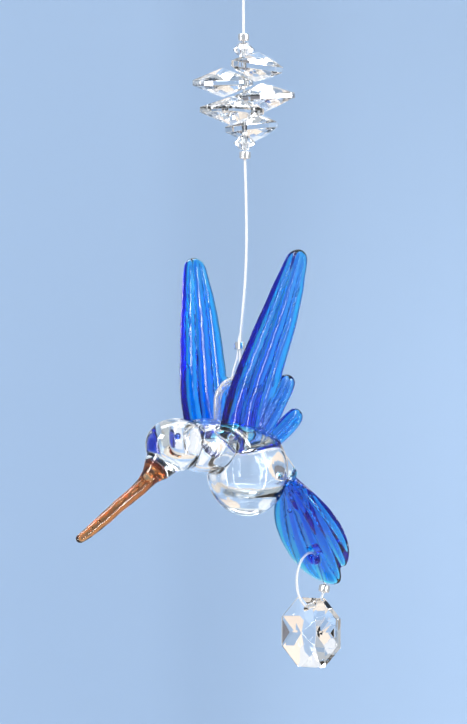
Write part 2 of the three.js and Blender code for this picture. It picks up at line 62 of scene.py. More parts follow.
# Hanging ring, crimps and line
RING_INSIDE = 7.6
RING_WIRE = 1.2
CRIMP_HEIGHT = 1.7
BEAD_CRIMP_RADIUS = 1.3
BEAD_BORE_RADIUS = 0.6
LOOP_BORE_RADIUS = 0.55
LOOP_CRIMP_RADIUS = 0.95
CRIMP_ROUNDING = 0.45
CRIMP_SQUEEZE = 0.1
STRAND_OFFSET = 0.35
RING_CRIMP_PLACE = (0, 0, -13.5)
BIRD_CRIMP_PLACE = (-0.91, 0, -95.8)
LINE_DIAMETER = 0.0006
LINE_ROUTE = [
    (0, 0.00035, -0.0152),
    (0, 0.00035, -0.0135),
    (0, 0.00055, -0.0116),
    (0, 0.00115, -0.0094),
    (0, 0.00112, -0.0079),
    (0, 0, -0.00695),
    (0, -0.00112, -0.0079),
    (0, -0.00115, -0.0094),
    (0, -0.00055, -0.0116),
    (0, -0.00035, -0.0135),
    (0, -0.0002, -0.016),
    (0, 0, -0.02),
    (0.00002, 0, -0.026),
    (0.0001, 0, -0.033),
    (0.00019, 0, -0.04),
    (0.00027, 0, -0.047),
    (0.00035, 0, -0.0535),
    (0.0006, 0, -0.063),
    (0.00068, 0, -0.0729),
    (0.00034, 0, -0.0818),
    (-0.0003, -0.00005, -0.0895),
    (-0.0006, -0.0002, -0.093),
    (-0.00071, -0.00029, -0.0958),
    (-0.00072, -0.0006, -0.0986),
    (-0.0008, -0.00105, -0.1018),
    (-0.00092, -0.0011, -0.1039),
    (-0.00171, 0, -0.10505),
    (-0.0025, 0.0011, -0.1039),
    (-0.0023, 0.00105, -0.1018),
    (-0.0014, 0.0006, -0.0986),
    (-0.00111, 0.00029, -0.0958),
    (-0.00095, 0.00032, -0.0942),
    (-0.0007, 0.0005, -0.0932),
]

# The bird as a whole, and its tail
BIRD_PLACE = (1.48, 2.24, -126)
BIRD_YAW = 35
TAIL_ROOT = (-11.2, 0, -0.8)
TAIL_TURN = 16
BIRD = Matrix.Translation(BIRD_PLACE) @ Matrix.Rotation(math.pi + math.radians(BIRD_YAW), 4, "Z")
TAIL = BIRD @ Matrix.Translation(TAIL_ROOT) @ Matrix.Rotation(math.radians(TAIL_TURN), 4, "Z")

# Clear body: middle, radii and nose-up tilt of each mass, and the hollows blown in it
HEAD = {"middle": (20.6, 0, 7.75), "radii": (7.2, 6, 6.1), "tilt": 0}
NECK = {"middle": (12.2, 0, 7.4), "radii": (8, 6.5, 6.35), "tilt": 0}
BELLY = {"middle": (0.7, 0, 1.7), "radii": (9.6, 8.9, 10.5), "tilt": 0}
SHOULDERS = [
    {"middle": (4.5, side * 5.6, 8.6), "radii": (9.2, 2.5, 3.4), "tilt": 18.6} for side in (1, -1)
]
NAPE = {"middle": (15.2, 0, 9), "radii": (5, 4.6, 4.5), "tilt": 0}
MUZZLE_RADII = (5.4, 3.25)
TAIL_STUB = {"from": (-3.5, 0, 4.6), "to": (-11.4, 0, -0.2), "radii": (5, 2.3)}
HEAD_HOLLOW = {"middle": (18.6, 0, 8.9), "radii": (4.8, 4.2, 4.1), "tilt": 0, "squareness": 2.6}
NECK_HOLLOW = {"middle": (10.2, 0, 7.3), "radii": (7.2, 5.1, 4.8), "tilt": -8, "squareness": 2.4}
BELLY_HOLLOW = {"middle": (0.3, 0, 2.2), "radii": (8.2, 7.4, 6.6), "tilt": -3, "squareness": 2.5}
HOLLOW_RIPPLE = 0.12
HOLLOW_RIPPLE_PITCH = 4.2

# Eyes: dots of blue glass on both sides of the head
EYES = [
    {"middle": (23.3, 4.85, 9.8), "radii": (0.75, 0.55, 0.75), "tilt": 0},
    {"middle": (21.9, -5.3, 7.7), "radii": (2.2, 0.9, 2.3), "tilt": 0},
]

# Beak: its middle line, its radius by share of its length, and its air bubbles
BEAK_LINE = [
    (25.9, 0, 2.3),
    (30.3, 0, -1.9),
    (35.4, 0, -5.4),
    (41.2, 0, -9.6),
    (44.6, 0, -11.9),
    (47.1, 0, -13.3),
]
BEAK_RADII = [
    (0, 3.2),
    (0.04, 2.6),
    (0.09, 2.1),
    (0.17, 1.75),
    (0.3, 1.55),
    (0.6, 1.45),
    (0.8, 1.3),
    (0.9, 1.15),
    (1, 0.95),
]
BEAK_TIP = 0.95
BEAK_LUMP = 0.06
BEAK_ROOT_SINK = 0.6
BEAK_ROOT_NARROWING = 0.85
BEAK_BUBBLE_OFFSET = (0.25, 0.3, 0.35)
BEAK_BUBBLES = [
    {"share": 0.085, "radius": 1.3, "length": 4.4},
    {"share": 0.2, "radius": 0.4, "length": 2.4},
    {"share": 0.29, "radius": 0.36, "length": 2.8},
    {"share": 0.47, "radius": 0.26, "length": 3.4},
    {"share": 0.74, "radius": 0.3, "length": 1},
    {"share": 0.83, "radius": 0.22, "length": 0.8},
]

# Feathers of a wing: middle line forward, outward and up from the wing's root, and widths
LONG_FEATHER = {
    "line": [(0, 0, 0), (-0.3, 2.7, 8.4), (-2.1, 5.8, 18.2), (-4, 8.9, 27.7), (-6.2, 13.5, 42.2)],
    "half_widths": (6.8, 6.8, 6.3, 5.6, 4.4, 2.6),
    "half_thicknesses": (1.7, 1.05),
    "flutes": 3,
    "bubbles": 22,
}
MIDDLE_FEATHER = {
    "line": [(-4.2, 0.2, 0.3), (-7.2, 2.3, 6.6), (-10.1, 4.45, 13.9)],
    "half_widths": (3, 2.9, 2.5),
    "half_thicknesses": (1.5, 1.2),
    "flutes": 2,
    "bubbles": 5,
}
SHORT_FEATHER = {
    "line": [(-7.3, -0.4, -1.8), (-11.4, 0.8, 2), (-14.8, 1.8, 5.7)],
    "half_widths": (2.6, 2.7, 2.3),
    "half_thicknesses": (1.4, 1.15),
    "flutes": 2,
    "bubbles": 4,
}
FEATHERS = (LONG_FEATHER, MIDDLE_FEATHER, SHORT_FEATHER)
LEFT_WING = {"root": (5.9, 5.5, 9.6), "side": 1, "sweep": 1, "rise": 1}
RIGHT_WING = {"root": (6.4, 6.4, 9.6), "side": -1, "sweep": 0.71, "rise": 0.97}
FLUTE_DEPTH = 0.55
TIP_ROUNDING = 0.97
ROOT_SINK = 0.35
FEATHER_AIR_SPAN = (0.16, 0.88)
FEATHER_BUBBLE = {
    "off_rib": (0.8, 1.05),
    "along": (0.25, 0.85),
    "radius": (0.12, 0.32),
    "drawn_out": (2, 14),
}

# Tail fan: its end is given by points across in millimetres and along as a share of its length
TAIL_TIP = (-10.7, 3, -23.2)
TAIL_ROOT_HALF_WIDTH = 2
TAIL_BULGE = 2.1
TAIL_END = [
    (-9.6, 0.57),
    (-8.2, 0.81),
    (-5, 0.955),
    (-0.4, 1.04),
    (3.2, 1.015),
    (4.9, 0.877),
    (7.1, 0.835),
    (9.4, 0.7),
    (10.1, 0.523),
]
TAIL_FLUTES = 6
TAIL_HALF_THICKNESSES = (1.9, 1.2)
TAIL_HOLE = {"along": 0.735, "across": -0.9, "diameter": 2.1}
TAIL_HOLE_RIM = 0.55
TAIL_RIM_BEAD_RADIUS = 1.045
TAIL_HOLE_REACH = 6
TAIL_AIR_START = 0.12
TAIL_AIR_LINES = [(1, 0.8), (2, 0.62), (4, 0.6), (5, 0.84)]
TAIL_REACH = 0.1
TAIL_BUBBLE = {"across": -0.5, "along": 0.37, "radius": 0.46, "length": 1}
TAIL_SEEDS = 14
TAIL_SEED = {
    "across": (-0.8, 0.8),
    "along": (0.2, 0.65),
    "smallest": (0.1, 0.3),
    "largest": (0.24, 1.6),
}

# Back loop
CANE_DIAMETER = 1.7
ARCH_MIDDLE = 3.9
ARCH_HALF_WIDTH = 5.2
ARCH_TOP = 22.3
ARCH_FOOT = 9.6
CANE_LUMP = 0.07
CANE_BUBBLES = 150
CANE_BUBBLE = {"from_foot": 8, "under_skin": 0.22, "radius": (0.06, 0.2), "drawn_out": 3.4}

# Drop loop
DROP_LOOP = {"half_width": 5.3, "half_height": 6.35}
DROP_LOOP_BACK = 1.6
DROP_CRIMP_BELOW = 20
DROP_LOOP_GAP = 0.3

# Lines of air in the grooves of wings and tail: wavy, and thinner at both ends
AIR_LINE_RADIUS = 0.26
AIR_LINE_POINTS = 60
AIR_LINE_END = 0.02
AIR_LINE_WAVE = 0.35
AIR_LINE_WAVE_STEP = 0.9

# Softness of the hand-worked glass
MELT_ROUNDS = 5
BODY_MELT_ROUNDS = 13
BODY_RIPPLE = 0.05
BODY_RIPPLE_PITCH = 5
SKIN_RIPPLE = 0.08
SKIN_RIPPLE_PITCH = 3.2
LUMPS_ALONG = 0.45
LUMPS_ROUND = 0.9

# Crystals: facets within the flatness are one face, and an edge sharper than the edge angle
# is polished, in degrees and metres
FACET_FLATNESS = 0.6
FACET_EDGE = 8
EDGE_POLISH = 0.00005

# Fineness
WELD = 1e-5
CRYSTAL_WELD = 1e-6
FEATHER_FACETS = 14
FEATHER_ROWS = 90
TAIL_ROWS = 80
BEAK_ROWS = 90
ROUND_SIDES = 48
RING_POINTS = 96
LOOP_POINTS = 90
VOXEL = 0.17
BODY_VOXEL = 0.23


# ---- Camera


def make_camera():
    data = bpy.data.cameras.new("camera")
    data.lens = CAMERA_LENS
    camera = bpy.data.objects.new("camera", data)
    camera.location = CAMERA_PLACE
    camera.rotation_euler = (math.radians(90), 0, 0)
    bpy.context.collection.objects.link(camera)
    bpy.context.scene.camera = camera


# ---- Curves


def hermite(start, stop, start_way, stop_way, t):
    """A point of the curve from start to stop that leaves and arrives by the given ways."""
    return (
        (2 * t**3 - 3 * t**2 + 1) * start
        + (t**3 - 2 * t**2 + t) * start_way
        + (3 * t**2 - 2 * t**3) * stop
        + (t**3 - t**2) * stop_way
    )


class Path:
    """A smooth curve through points, read by share of its length."""

    def __init__(self, points, steps=40):
        p = np.array(points, float)
        ends = np.vstack([2 * p[0] - p[1], p, 2 * p[-1] - p[-2]])
        dense = []
        for a, b, c, d in zip(ends[:-3], ends[1:-2], ends[2:-1], ends[3:]):
            t0, t1, t2 = (math.sqrt(np.linalg.norm(v)) for v in (b - a, c - b, d - c))
            start = t1 * ((b - a) / t0 - (c - a) / (t0 + t1) + (c - b) / t1)
            stop = t1 * ((c - b) / t1 - (d - b) / (t1 + t2) + (d - c) / t2)
            for t in np.linspace(0, 1, steps, endpoint=False):
                dense.append(hermite(b, c, start, stop, t))
        self.points = np.array([*dense, p[-1]])
        lengths = np.linalg.norm(np.diff(self.points, axis=0), axis=1)
        self.at = np.concatenate([[0], np.cumsum(lengths)])
        self.length = self.at[-1]

    def point(self, share):
        return np.array(
            [np.interp(share * self.length, self.at, self.points[:, k]) for k in range(3)]
        )

    def tangent(self, share):
        step = 0.01
        way = self.point(min(1, share + step)) - self.point(max(0, share - step))
        return way / np.linalg.norm(way)


def blend(values, share):
    """A value between the entries of an evenly spaced list."""
    return float(np.interp(share * (len(values) - 1), range(len(values)), values))


def unit(v):
    return v / np.linalg.norm(v)


# ---- Meshes


def mesh_of(points, faces):
    mesh = bpy.data.meshes.new("mesh")
    mesh.from_pydata([tuple(p) for p in points], [], faces)
    bm = bmesh.new()
    bm.from_mesh(mesh)
    bmesh.ops.remove_doubles(bm, verts=bm.verts, dist=WELD)
    bmesh.ops.recalc_face_normals(bm, faces=bm.faces)
    bm.to_mesh(mesh)
    bm.free()
    return mesh


def joined(meshes):
    bm = bmesh.new()
    for mesh in meshes:
        bm.from_mesh(mesh)
    whole = bpy.data.meshes.new("mesh")
    bm.to_mesh(whole)
    bm.free()
    return whole


def turned_in(mesh):
    """The surface of a hollow: its faces look into the hollow."""
    mesh.flip_normals()
    return mesh


def with_modifiers(mesh, *settings):
    """The mesh with a stack of modifiers applied."""
    holder = bpy.data.objects.new("holder", mesh)
    bpy.context.collection.objects.link(holder)
    for kind, values in settings:
        modifier = holder.modifiers.new(kind, kind)
        for key, value in values.items():
            setattr(modifier, key, value)
    depsgraph = bpy.context.evaluated_depsgraph_get()
    made = bpy.data.meshes.new_from_object(holder.evaluated_get(depsgraph))
    bpy.data.objects.remove(holder)
    return made


def melted(meshes, voxel=VOXEL, rounds=MELT_ROUNDS):
    """Overlapping shapes run together into one skin with soft joints."""
    return with_modifiers(
        joined(meshes),
        ("REMESH", {"mode": "VOXEL", "voxel_size": voxel}),
        ("SMOOTH", {"factor": 0.5, "iterations": rounds}),
    )


def ellipsoid(mass, segments=64, rings=32):
    """A rounded mass. A squareness over 2 makes it boxier."""
    bm = bmesh.new()
    bmesh.ops.create_uvsphere(bm, u_segments=segments, v_segments=rings, radius=1)
    power = mass.get("squareness", 2)
    for vertex in bm.verts:
        vertex.co /= sum(abs(v) ** power for v in vertex.co) ** (1 / power)
    radii = Matrix.Diagonal((*mass["radii"], 1))
    tilt = Matrix.Rotation(-math.radians(mass["tilt"]), 4, "Y")
    bm.transform(Matrix.Translation(mass["middle"]) @ tilt @ radii)
    mesh = bpy.data.meshes.new("mesh")
    bm.to_mesh(mesh)
    bm.free()
    return mesh


def rippled(mesh, amount, pitch):
    """The mesh with its skin moved in and out by soft random waves."""
    moves = [v.normal * amount * noise.noise(v.co / pitch) for v in mesh.vertices]
    for vertex, move in zip(mesh.vertices, moves):
        vertex.co += move
    return mesh


def tube(points, radii, sides=24, lump=0, closed=False):
    """A round rod along points with a radius at each, with flat ends, or closed to a ring."""
    points = [np.array(p, float) for p in points]
    count = len(points)
    ring = []
    side_way = None
    for k, p in enumerate(points):
        before = points[k - 1] if closed or k else p
        after = points[(k + 1) % count] if closed or k < count - 1 else p
        way = unit(after - before)
        if side_way is None:
            side_way = np.array([0, 1, 0]) if abs(way[1]) < 0.9 else np.array([1, 0, 0])
        side_way = unit(side_way - way * np.dot(side_way, way))
        up = np.cross(way, side_way)
        for side in range(sides):
            angle = 2 * math.pi * side / sides
            out = side_way * math.cos(angle) + up * math.sin(angle)
            radius = radii[k]
            if lump:
                radius += lump * noise.noise(Vector(p * LUMPS_ALONG + out * LUMPS_ROUND))
            ring.append(p + out * radius)
    faces = []
    for k in range(count if closed else count - 1):
        here, there = k * sides, ((k + 1) % count) * sides
        for side in range(sides):
            after = (side + 1) % sides
            faces.append((here + side, here + after, there + after, there + side))
    if not closed:
        faces.append(tuple(range(sides))[::-1])
        faces.append(tuple(range((count - 1) * sides, count * sides)))
    return mesh_of(ring, faces)


def leaf(middle_at, normal_at, half_at, flutes, rows, facets=FEATHER_FACETS):
    """A glass leaf of rounded ribs: two faces over one outline that meet at its rim."""
    columns = flutes * facets
    grids = [[], []]
    for column in range(columns + 1):
        flute = min(column // facets, flutes - 1)
        within = math.sin((2 * (column - flute * facets) / facets - 1) * math.pi / 2)
        u = -1 + 2 * (flute + (1 + within) / 2) / flutes
        rib = 1 - FLUTE_DEPTH * (1 - math.sqrt(max(0, 1 - within * within)))
        for row in range(rows + 1):
            t = math.sin(row / rows * math.pi / 2)
            rim = column in (0, columns) or row == rows
            half = 0 if rim else rib * math.sqrt(1 - u * u) * half_at(t)
            middle, out = middle_at(u, t), normal_at(t)
            grids[0].append(middle + out * half)
            grids[1].append(middle - out * half)
    size = (columns + 1) * (rows + 1)
    faces = []
    for column in range(columns):
        for row in range(rows):
            a = column * (rows + 1) + row
            b = a + rows + 1
            faces.append((a, b, b + 1, a + 1))
            faces.append((size + a, size + a + 1, size + b + 1, size + b))
        a = column * (rows + 1)
        faces.append((a, size + a, size + a + rows + 1, a + rows + 1))
    return mesh_of([*grids[0], *grids[1]], faces)


def tip_share(spec, path):
    """The rounded tip's share of a feather's length."""
    return spec["half_widths"][-1] / path.length


def feather_sheet(spec, wing):
    """The path of a feather, the way across it, and the points of its middle sheet."""
    x, y, z = wing["root"]
    sweep, rise, side = wing["sweep"], wing["rise"], wing["side"]
    path = Path(
        [(x + f * sweep, side * (y + l * rise), z + up * rise) for f, l, up in spec["line"]]
    )
    chord = np.array([-1.0, 0, 0])
    tip = tip_share(spec, path)

    def across(t):
        way = path.tangent(t)
        return unit(chord - way * np.dot(chord, way))

    def middle_at(u, t):
        at = t * (1 - tip * (1 - math.sqrt(1 - (TIP_ROUNDING * u) ** 2)))
        return path.point(at) + across(at) * blend(spec["half_widths"], at) * u

    return path, across, middle_at


def feather(spec, wing):
    path, across, middle_at = feather_sheet(spec, wing)
    tip = tip_share(spec, path)

    def half_at(t):
        end = max(0, (t - 1 + tip) / tip)
        return blend(spec["half_thicknesses"], t) * math.sqrt(max(0, 1 - end * end))

    return leaf(
        middle_at,
        lambda t: np.cross(across(t), path.tangent(t)),
        half_at,
        spec["flutes"],
        FEATHER_ROWS,
    )


def bubble(middle, way, radius, length):
    """A drawn-out air bubble, its skin facing into it."""
    mass = {"middle": (0, 0, 0), "radii": (radius, radius, length / 2), "tilt": 0}
    mesh = ellipsoid(mass, 12, 12)
    turn = Vector(way).to_track_quat("Z", "Y").to_matrix().to_4x4()
    mesh.transform(Matrix.Translation(middle) @ turn)
    return turned_in(mesh)


def air_line(point_at, start, stop):
    """A thin line of air along point_at, thinning out toward both ends."""
    shares = np.linspace(start, stop, AIR_LINE_POINTS)
    radii = []
    for k in range(AIR_LINE_POINTS):
        off_middle = (2 * k / (AIR_LINE_POINTS - 1)) - 1
        thin = math.sqrt(max(AIR_LINE_END, 1 - off_middle**4))
        wave = 1 + AIR_LINE_WAVE * math.sin(k * AIR_LINE_WAVE_STEP)
        radii.append(AIR_LINE_RADIUS * thin * wave)
    return turned_in(tube([point_at(t) for t in shares], radii, sides=10))


def feather_bubbles(spec, wing, rng):
    """Bubbles drawn out along the ribs of a feather, and lines of air along its grooves."""
    path, _, middle_at = feather_sheet(spec, wing)
    made = []
    for groove in range(1, spec["flutes"]):
        u = -1 + 2 * groove / spec["flutes"]
        made.append(air_line(lambda t: middle_at(u, t), *FEATHER_AIR_SPAN))
    for _ in range(spec["bubbles"]):
        rib = rng.integers(spec["flutes"])
        u = (-1 + 2 * (rib + 0.5) / spec["flutes"]) * rng.uniform(*FEATHER_BUBBLE["off_rib"])
        t = rng.uniform(*FEATHER_BUBBLE["along"])
        radius = rng.uniform(*FEATHER_BUBBLE["radius"])
        length = radius * rng.uniform(*FEATHER_BUBBLE["drawn_out"])
        made.append(bubble(middle_at(u, t), path.tangent(t), radius, length))
    return made


def without(mesh, cutters):
    """The mesh with each cutter's room taken out of it."""
    for cutter in cutters:
        holder = bpy.data.objects.new("cutter", cutter)
        bpy.context.collection.objects.link(holder)
        cut = {"operation": "DIFFERENCE", "object": holder, "solver": "FAST"}
        mesh = with_modifiers(mesh, ("BOOLEAN", cut))
        bpy.data.objects.remove(holder)
    return mesh


def shrunk(mass):
    """A mass of the body without its outermost skin, so that a feather's root sinks into it."""
    return {**mass, "radii": [radius - ROOT_SINK for radius in mass["radii"]]}


def wing_mesh(wing):
    roots = [ellipsoid(shrunk(mass)) for mass in (NECK, BELLY, *SHOULDERS)]
    skin = melted([feather(spec, wing) for spec in FEATHERS])
    skin = rippled(skin, SKIN_RIPPLE, SKIN_RIPPLE_PITCH)
    rng = np.random.default_rng(3)
    bubbles = [b for spec in FEATHERS for b in feather_bubbles(spec, wing, rng)]
    return joined([without(skin, roots), *bubbles])


def tail_outline(share):
    """A point of the fan's end, across and along, at an even share of its points."""
    at = share * (len(TAIL_END) - 1)
    low = min(int(at), len(TAIL_END) - 2)
    t = at - low
    p = [np.array(TAIL_END[min(max(low + k, 0), len(TAIL_END) - 1)], float) for k in range(-1, 3)]
    return hermite(p[1], p[2], (p[2] - p[0]) / 2, (p[3] - p[1]) / 2, t)


def oval_point(angle):
    """A point of the drop's loop about its middle, from its rearmost point downward."""
    return np.array(
        [
            -DROP_LOOP["half_width"] * math.cos(angle),
            0,
            -DROP_LOOP["half_height"] * math.sin(angle),
        ]
    )


def oval_turn(angle):
    return math.atan2(
        -DROP_LOOP["half_width"] * math.sin(angle), DROP_LOOP["half_height"] * math.cos(angle)
    )


HOLE_ANGLE = -math.acos(DROP_LOOP_BACK / DROP_LOOP["half_width"])
HOLE_PLACE = np.array(TAIL_TIP) * TAIL_HOLE["along"] + np.array([0, TAIL_HOLE["across"], 0])
DROP_MIDDLE = HOLE_PLACE - oval_point(HOLE_ANGLE)


def tail_mesh():
    tip = np.array(TAIL_TIP)
    length = np.linalg.norm(tip)
    way = tip / length
    left = np.array([0, 1.0, 0])
    across = unit(left - way * np.dot(left, way))
    normal = np.cross(across, way)

    def middle_at(u, share):
        t = share * (1 + TAIL_REACH) - TAIL_REACH
        end = tail_outline((u + 1) / 2)
        shift = TAIL_ROOT_HALF_WIDTH * u * (1 - t) + end[0] * t + TAIL_BULGE * 4 * t * (1 - t) * u
        return way * (end[1] * t * length) + left * shift

    fan = leaf(
        middle_at,
        lambda t: normal,
        lambda t: blend(TAIL_HALF_THICKNESSES, t) * math.sqrt(max(0, 1 - t**6)),
        TAIL_FLUTES,
        TAIL_ROWS,
    )
    turn = oval_turn(HOLE_ANGLE)
    axis = np.array([math.sin(turn), 0, math.cos(turn)])
    hole_radius = TAIL_HOLE["diameter"] / 2
    rim_radius = hole_radius + TAIL_HOLE_RIM
    rim_way = [unit(np.cross(axis, left)), left]
    rim = [
        HOLE_PLACE + (rim_way[0] * math.cos(a) + rim_way[1] * math.sin(a)) * rim_radius
        for a in np.linspace(0, 2 * math.pi, ROUND_SIDES, endpoint=False)
    ]
    thick = melted([fan, tube(rim, [TAIL_RIM_BEAD_RADIUS] * ROUND_SIDES, closed=True)])
    reach = axis * TAIL_HOLE_REACH
    pin = tube([HOLE_PLACE - reach, HOLE_PLACE + reach], [hole_radius] * 2, sides=ROUND_SIDES)
    lines = [
        air_line(lambda t: middle_at(-1 + 2 * groove / TAIL_FLUTES, t), TAIL_AIR_START, stop)
        for groove, stop in TAIL_AIR_LINES
    ]
    spec = TAIL_BUBBLE
    middle = middle_at(spec["across"], spec["along"])
    bubbles = [bubble(middle, way, spec["radius"], spec["length"])]
    rng = np.random.default_rng(11)
    for _ in range(TAIL_SEEDS):
        middle = middle_at(rng.uniform(*TAIL_SEED["across"]), rng.uniform(*TAIL_SEED["along"]))
        seed_radius, seed_length = rng.uniform(TAIL_SEED["smallest"], TAIL_SEED["largest"])
        bubbles.append(bubble(middle, way, seed_radius, seed_length))
    cut = without(rippled(thick, SKIN_RIPPLE, SKIN_RIPPLE_PITCH), [pin])
    return joined([cut, *lines, *bubbles])


def body_mesh():
    beak_start = Vector(BEAK_LINE[0])
    stub = [Vector(TAIL_STUB["from"]), Vector(TAIL_STUB["to"])]
    masses = [ellipsoid(m) for m in (HEAD, NAPE, NECK, BELLY, *SHOULDERS)]
    masses.append(tube([HEAD["middle"], beak_start], MUZZLE_RADII, sides=ROUND_SIDES))
    masses.append(tube(stub, TAIL_STUB["radii"], sides=ROUND_SIDES))
    skin = rippled(melted(masses, BODY_VOXEL, BODY_MELT_ROUNDS), BODY_RIPPLE, BODY_RIPPLE_PITCH)
    hollow = melted(
        [ellipsoid(h) for h in (HEAD_HOLLOW, NECK_HOLLOW, BELLY_HOLLOW)], BODY_VOXEL, MELT_ROUNDS
    )
    return joined([skin, turned_in(rippled(hollow, HOLLOW_RIPPLE, HOLLOW_RIPPLE_PITCH))])


def beak_mesh():
    path = Path(BEAK_LINE)
    tip = BEAK_TIP / path.length
    shares = [*np.linspace(0, 1 - tip, BEAK_ROWS)]
    shares += [1 - tip * (1 - math.sin(a)) for a in np.linspace(0.15, 1.5, 10)]
    radii = []
    for share in shares:
        back = (1 - share) * path.length / BEAK_TIP
        round_off = math.sqrt(max(0, 1 - (1 - min(1, back)) ** 2))
        radii.append(np.interp(share, *zip(*BEAK_RADII)) * round_off)
    start = path.point(0) - path.tangent(0) * BEAK_ROOT_SINK
    line = [start, *[path.point(share) for share in shares]]
    rod = tube(line, [radii[0] * BEAK_ROOT_NARROWING, *radii], sides=40, lump=BEAK_LUMP)
    bubbles = []
    for spec in BEAK_BUBBLES:
        middle = path.point(spec["share"]) + np.array(BEAK_BUBBLE_OFFSET)
        way = path.tangent(spec["share"])
        bubbles.append(bubble(middle, way, spec["radius"], spec["length"]))
    return joined([rod, *bubbles])


def arch_points(count=60):
    springing = ARCH_TOP - ARCH_HALF_WIDTH
    ends = [(ARCH_MIDDLE + s * ARCH_HALF_WIDTH, 0, ARCH_FOOT) for s in (1, -1)]
    round_part = [
        (
            ARCH_MIDDLE + ARCH_HALF_WIDTH * math.cos(a),
            0,
            springing + ARCH_HALF_WIDTH * math.sin(a),
        )
        for a in np.linspace(0, math.pi, count)
    ]
    legs = [np.linspace(ends[0], round_part[0], 12)[:-1], np.linspace(round_part[-1], ends[1], 12)]
    return [*legs[0], *round_part, *legs[1][1:]]


def back_loop_mesh():
    points = arch_points()
    rng = np.random.default_rng(7)
    cane = tube(points, [CANE_DIAMETER / 2] * len(points), sides=32, lump=CANE_LUMP)
    from_foot = CANE_BUBBLE["from_foot"]
    bubbles = []
    for _ in range(CANE_BUBBLES):
        k = rng.uniform(from_foot, len(points) - from_foot)
        low = int(k)
        middle = np.array(points[low]) * (1 - k + low) + np.array(points[low + 1]) * (k - low)
        off = rng.uniform(-1, 1, 3)
        off = off / max(1, np.linalg.norm(off)) * (CANE_DIAMETER / 2 - CANE_BUBBLE["under_skin"])
        radius = rng.uniform(*CANE_BUBBLE["radius"])
        way = np.array(points[low + 1]) - np.array(points[low])
        bubbles.append(bubble(middle + off, way, radius, radius * CANE_BUBBLE["drawn_out"]))
    return joined([cane, *bubbles])


def sleeve(inner, outer, height, reach=0):
    """A squeezed crimp round Z, its section stretched by reach along X."""
    sides = ROUND_SIDES
    profile = []
    rounding = (outer - inner) * CRIMP_ROUNDING
    for a in np.linspace(0, math.pi / 2, 5):
        profile.append(
            (outer - rounding + rounding * math.cos(a), height / 2 - rounding * (1 - math.sin(a)))
        )
    profile.append((inner, height / 2))
    profile += [(r, -z) for r, z in profile[::-1]]
    points, faces = [], []
    for k in range(sides):
        angle = 2 * math.pi * k / sides
        way = (math.cos(angle), math.sin(angle))
        dent = 1 - CRIMP_SQUEEZE * abs(math.cos(2 * angle))
        shift = reach * np.clip(way[0] * 6, -1, 1)
        for r, z in profile:
            r = inner + (r - inner) * dent
            points.append((r * way[0] + shift, r * way[1], z))
    count = len(profile)
    for k in range(sides):
        for j in range(count):
            here, there = k * count, (k + 1) % sides * count
            after = (j + 1) % count
            faces.append((here + j, there + j, there + after, here + after))
    return mesh_of(points, faces)


def cut_crystal(node):
    """The crystal of a CAD node, with each facet one flat face and its edges polished."""
    bm = bmesh.new()
    bm.from_mesh(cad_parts[node].data)
    bmesh.ops.remove_doubles(bm, verts=bm.verts, dist=CRYSTAL_WELD)
    edges = [e for e in bm.edges if len(e.link_faces) == 2]
    bmesh.ops.dissolve_limit(
        bm,
        angle_limit=math.radians(FACET_FLATNESS),
        verts=bm.verts,
        edges=edges,
        delimit=set(),
    )
    least = math.radians(FACET_EDGE)
    sharp = [e for e in bm.edges if e.is_manifold and e.calc_face_angle(0) > least]
    bmesh.ops.bevel(bm, geom=sharp, offset=EDGE_POLISH, segments=1, profile=0.5, affect="EDGES")
    mesh = bpy.data.meshes.new(node)
    bm.to_mesh(mesh)
    bm.free()
    return mesh


# ---- Materials


def material(name, **values):
    """A Principled material with plain values on its own sockets."""
    made = bpy.data.materials.new(name)
    made.use_nodes = True
    shader = made.node_tree.nodes["Principled BSDF"]
    for key, value in values.items():
        shader.inputs[key.replace("_", " ")].default_value = value
    return made


def glass(name, keep, ior=1.5):
    """Clear or coloured glass. Keep is the light that a millimetre lets through."""
    made = material(
        name,
        Base_Color=(1, 1, 1, 1),
        Transmission_Weight=1.0,
        IOR=ior,
        Roughness=0.0,
    )
    loss = [-math.log(k) / MM for k in keep]
    tree = made.node_tree
    volume = tree.nodes.new("ShaderNodeVolumeAbsorption")
    volume.inputs["Density"].default_value = max(loss)
    volume.inputs["Color"].default_value = (*[1 - v / max(loss) for v in loss], 1)
    tree.links.new(volume.outputs["Volume"], tree.nodes["Material Output"].inputs["Volume"])
    return made


clear_glass = glass("clear glass", (0.988, 0.993, 0.995))
blue_glass = glass("cobalt glass", (0.06, 0.57, 0.93))
eye_glass = glass("eye glass", (0.05, 0.16, 0.75))
amber_glass = glass("amber glass", (0.78, 0.54, 0.34))
crystal = glass("lead crystal", (0.996, 0.997, 0.998), ior=1.58)
cane_glass = material(
    "bubbled cane glass",
    Base_Color=(0.95, 0.93, 0.91, 1),
    Transmission_Weight=0.86,
    Roughness=0.06,
    IOR=1.5,
)
nylon = material(
    "nylon line",
    Base_Color=(0.93, 0.95, 0.97, 1),
    Transmission_Weight=0.55,
    Roughness=0.22,
    IOR=1.45,
)
silver = material("silver crimp", Base_Color=(0.82, 0.82, 0.83, 1), Metallic=1.0, Roughness=0.2)


def placed(name, mesh, place, look):
    """A smooth piece of the object, its mesh brought from millimetres in its own frame."""
    mesh.transform(Matrix.Scale(MM, 4) @ place)
    return piece(name, mesh, look, True)


def piece(name, mesh, look, smooth):
    """A piece of the object from a mesh in metres in the part's frame."""
    for polygon in mesh.polygons:
        polygon.use_smooth = smooth
    mesh.materials.clear()
    mesh.materials.append(look)
    made = bpy.data.objects.new(name, mesh)
    bpy.context.collection.objects.link(made)
    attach(made, "root")
    return made


